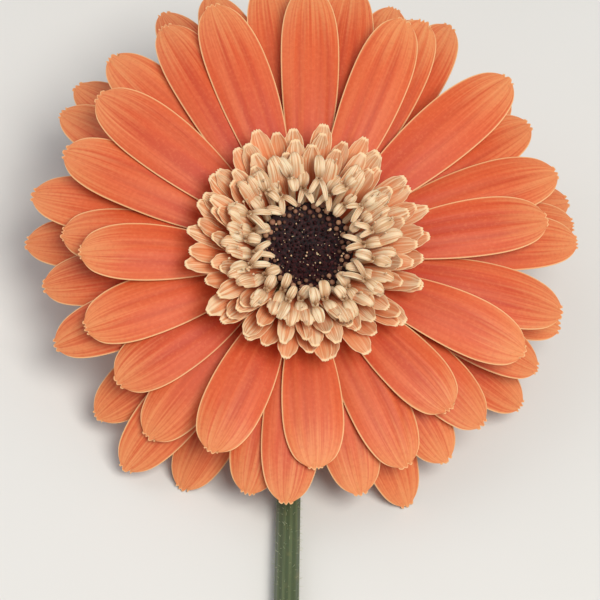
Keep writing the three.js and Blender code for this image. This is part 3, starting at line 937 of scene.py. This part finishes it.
# %% Stem finish
stem_skin = Finish(
    "stem_skin", "stem", 0.5,
    Specular_IOR_Level=0.35, Subsurface_Weight=0.08, Subsurface_Scale=0.001,
    Sheen_Weight=0.25, Sheen_Roughness=0.5,
)
across, along, tone = stem_skin.note("place")
cut, _, ribs = stem_skin.note("look")
streaks = stem_skin.noise(stem_skin.vector(
    stem_skin.math("MULTIPLY", across, 9.0), stem_skin.math("MULTIPLY", along, 16.0), tone), 1.0, 3.0)
green = stem_skin.blend(stem_skin.rise(streaks, 0.34, 0.66), tint(84, 96, 62), tint(128, 138, 94))
# Painted shade: the furrows between the ribs are darkest and the crests a little lighter.
green = stem_skin.blend(stem_skin.rise(ribs, 0.2, 0.9, 0.35), tint(70, 82, 52), green)
patches = stem_skin.rise(stem_skin.object_noise(420.0, 3.0), 0.55, 0.8, 0.4)
green = stem_skin.blend(patches, green, tint(126, 116, 70))
cells = stem_skin.rise(stem_skin.object_noise(2200.0, 2.0), 0.3, 0.7)
pith = stem_skin.blend(cells, tint(196, 202, 150), tint(224, 226, 184))
stem_skin.colour(stem_skin.blend(cut, green, pith))
stem_skin.bump(streaks, 0.2, 0.0002)

hair_skin = Finish("hair_skin", "stem", 0.6)
hair_skin.colour(hair_skin.blend(hair_skin.object_noise(500.0), tint(176, 184, 140), tint(214, 216, 184)))

# %% Stem line
BEND_RADIUS = 13.0
NECK_LEVEL = -9.8  # of the CAD stem's top, in the head's frame
NECK_SINK = 1.2  # the finished stem starts this much lower, inside the bracts' cup
FLAT_FROM = 4.0  # past the bend's middle the CAD stem lies flat
RING_SPACING = 3.0  # the CAD stem's rings stand further apart than this
STEM_RADIUS, NECK_RADIUS, SWELL_LENGTH = 2.4, 3.6, 12.0

neck = from_head(np.array([0.0, 0.0, NECK_LEVEL])) / MM
down, inwards = LEAN @ [0, 0, -1], LEAN @ [0, -1, 0]
bend_centre = neck + BEND_RADIUS * inwards
turns = np.linspace(NECK_SINK / BEND_RADIUS, math.pi / 2 + HEAD_LEAN, 16)[:, None]
bend = bend_centre + BEND_RADIUS * (np.sin(turns) * down - np.cos(turns) * inwards)
swell = np.maximum(0, 1 - turns * BEND_RADIUS / SWELL_LENGTH) ** 2
knots = [np.hstack([bend, STEM_RADIUS + (NECK_RADIUS - STEM_RADIUS) * swell])]

flat = node_points("stem") / MM
flat = flat[flat[:, 1] < bend_centre[1] - FLAT_FROM]
flat = flat[np.argsort(-flat[:, 1])]
for group in np.split(flat, np.flatnonzero(np.diff(flat[:, 1]) < -RING_SPACING) + 1):
    low, high = group.min(0), group.max(0)
    knots.append(np.array([[*(low + high) / 2, (high[2] - low[2]) / 2]]))
knots = np.vstack(knots)
print("Stem line from", len(knots), "knots, cut end at", knots[-1].round(1))

# %% Stem
STEM_ROWS, STEM_SIDES, STEM_RIBS = 230, 60, 12
line = smooth_path(knots, STEM_ROWS)
run = np.gradient(line[:, :3], axis=0)
run /= np.linalg.norm(run, axis=1, keepdims=True)
aside = np.array([1.0, 0, 0]) - run * run[:, :1]
aside /= np.linalg.norm(aside, axis=1, keepdims=True)
upward = np.cross(run, aside)
upward *= np.sign(upward[-1, 2])
turn = np.arange(STEM_SIDES) * 2 * math.pi / STEM_SIDES


def stem_rings(rows, reach):
    """Rings round the stem's line at some of its rows, out to a reach for each point."""
    out = aside[rows][:, None] * np.cos(turn)[:, None] + upward[rows][:, None] * np.sin(turn)[:, None]
    return line[rows, None, :3] + out * reach[..., None]


share = np.linspace(0, 1, STEM_ROWS)[:, None]
ribs = np.cos(STEM_RIBS * turn + 1.5 * np.sin(6 * share)) * 0.5 + 0.5
reach = line[:, 3:] * (1 - 0.035 * (1 - ribs))
body = stem_rings(np.arange(STEM_ROWS), reach)
# The cut face: the same last ring, drawn in towards the middle and hollowed.
cut_rows = np.full(5, STEM_ROWS - 1)
shrink = np.array([0.97, 0.86, 0.55, 0.3, 0.06])[:, None]
hollow = np.array([0.12, 0.1, 0.05, -0.5, -0.7])[:, None, None]
face = stem_rings(cut_rows, reach[-1] * shrink) + run[-1] * hollow
rings = np.concatenate([body, face])
is_cut = np.concatenate([np.zeros(STEM_ROWS), [0.35, 1, 0.9, 0.6, 0.4]])[:, None] * np.ones(STEM_SIDES)
along = np.concatenate([share[:, 0], np.ones(5)])[:, None] * np.ones(STEM_SIDES)
rib_marks = np.concatenate([ribs, np.ones((5, STEM_SIDES))])
around = np.cos(turn) + 1.7 * np.sin(turn)
place = np.stack([around * np.ones_like(along), along, np.sin(turn) * np.ones_like(along)], -1)
look = np.stack([is_cut, np.ones_like(along), rib_marks], -1)
sheaf = Sheaf()
sheaf.add(rings, place, look)


def from_millimetres(points):
    return points * MM


make_piece("stem_ribbed", sheaf, stem_skin.material, ["stem"], to_scene=from_millimetres)
print("Stem has", STEM_RIBS, "ribs")

# %% Stem hairs
HAIRS = 1500
HAIR_CLEARANCE = 0.35  # no hair grows closer to the surface than this
chance = np.random.default_rng(18)
sheaf = Sheaf()
square = np.arange(4) * math.pi / 2
for i in range(HAIRS):
    row = int(chance.integers(6, STEM_ROWS - 3))
    angle = chance.uniform(-0.35, math.pi + 0.35)
    out = aside[row] * math.cos(angle) + upward[row] * math.sin(angle)
    foot = line[row, :3] + out * line[row, 3] * 0.955 + run[row] * chance.uniform(-0.5, 0.5)
    heading = out + run[row] * chance.normal(0, 0.35) + np.cross(run[row], out) * chance.normal(0, 0.3)
    tip = foot + heading * chance.uniform(0.45, 1.0)
    if min(foot[2], tip[2]) < HAIR_CLEARANCE:
        continue
    spread = run[row] * np.cos(square)[:, None] + np.cross(run[row], out) * np.sin(square)[:, None]
    rings = np.stack([foot + spread * 0.035, (foot + tip) / 2 + spread * 0.025, tip + spread * 0.006])
    sheaf.add(rings, [0, 0, 0], [0, 1, 0])
make_piece("stem_hairs", sheaf, hair_skin.material, to_scene=from_millimetres)
print("Hairs on the stem:", len(sheaf.points))

# %% [markdown]
# ## The surface, the light and the camera
#
# The flower lies on a plain pale surface. A broad soft light stands above the face, a little to its
# right and below, a weaker one fills from the upper left, and a pale world lights the rest, as in a
# room with a large window. The camera looks down on the face from a little below and to the left of
# the flower's axis, with the top of the head at the top of the frame.

# %% Surface
surface = Finish("surface_paint", "", 0.75)
surface.colour(surface.blend(surface.object_noise(14.0, 3.0), tint(222, 220, 215), tint(228, 226, 222)))
half_side = 3.0
SURFACE_LEVEL = -0.0002  # a hair under the pieces that rest on it
floor_mesh = bpy.data.meshes.new("surface")
corners = [(x * half_side, y * half_side, SURFACE_LEVEL) for x, y in ((-1, -1), (1, -1), (1, 1), (-1, 1))]
floor_mesh.from_pydata(corners, [], [(0, 1, 2, 3)])
floor_mesh.materials.append(surface.material)
floor = bpy.data.objects.new("surface", floor_mesh)
bpy.context.scene.collection.objects.link(floor)

# %% Light
face_middle = Vector(from_head(np.array([0.0, 0.0, 4.0])))


def soft_light(name, offset, size, power, colour):
    """A square light that looks at the flower's face from an offset in metres."""
    light = bpy.data.lights.new(name, "AREA")
    light.size, light.energy, light.color = size, power, colour
    lamp = bpy.data.objects.new(name, light)
    lamp.location = face_middle + Vector(offset)
    lamp.rotation_euler = (-Vector(offset)).to_track_quat("-Z", "Y").to_euler()
    bpy.context.scene.collection.objects.link(lamp)
    print("Light:", name, "of", power, "watts")


soft_light("window", (0.25, -0.45, 1.0), 0.6, 10.4, (1.0, 0.97, 0.92))
soft_light("fill", (-0.7, 0.45, 0.8), 0.9, 2.4, (0.95, 0.97, 1.0))
world = bpy.data.worlds.new("room")
world.use_nodes = True
world.node_tree.nodes["Background"].inputs["Color"].default_value = (0.86, 0.9, 0.95, 1)
world.node_tree.nodes["Background"].inputs["Strength"].default_value = 0.4
bpy.context.scene.world = world
bpy.context.scene.view_settings.view_transform = "Standard"

# %% Camera
CAMERA_DISTANCE = 0.45
FIELD_AT_FACE = 0.12  # metres of the head's plane that the frame takes in
EYE_LEVEL = 5.6  # height of the eye's buds in the head's frame
EYE_RIGHT, EYE_ABOVE = 0.0014, 0.0106  # where the eye stands from the frame's middle
LOOK_BELOW, LOOK_LEFT = math.radians(14), math.radians(8)

toward_camera = Vector(LEAN @ [-math.tan(LOOK_LEFT), -math.tan(LOOK_BELOW), 1.0]).normalized()
head_up = Vector(LEAN @ [0, 1, 0])
right = head_up.cross(toward_camera).normalized()
up = toward_camera.cross(right)
eye = Vector(from_head(np.array([0.0, 0.0, EYE_LEVEL])))
aim = eye - right * EYE_RIGHT - up * EYE_ABOVE
camera = bpy.data.cameras.new("camera")
camera.lens = camera.sensor_width * CAMERA_DISTANCE / FIELD_AT_FACE
camera_object = bpy.data.objects.new("camera", camera)
turn_to = Matrix((right, up, toward_camera)).transposed()
camera_object.matrix_world = Matrix.Translation(aim + toward_camera * CAMERA_DISTANCE) @ turn_to.to_4x4()
bpy.context.scene.collection.objects.link(camera_object)
bpy.context.scene.camera = camera_object
print("Camera lens in millimetres:", round(camera.lens, 1))
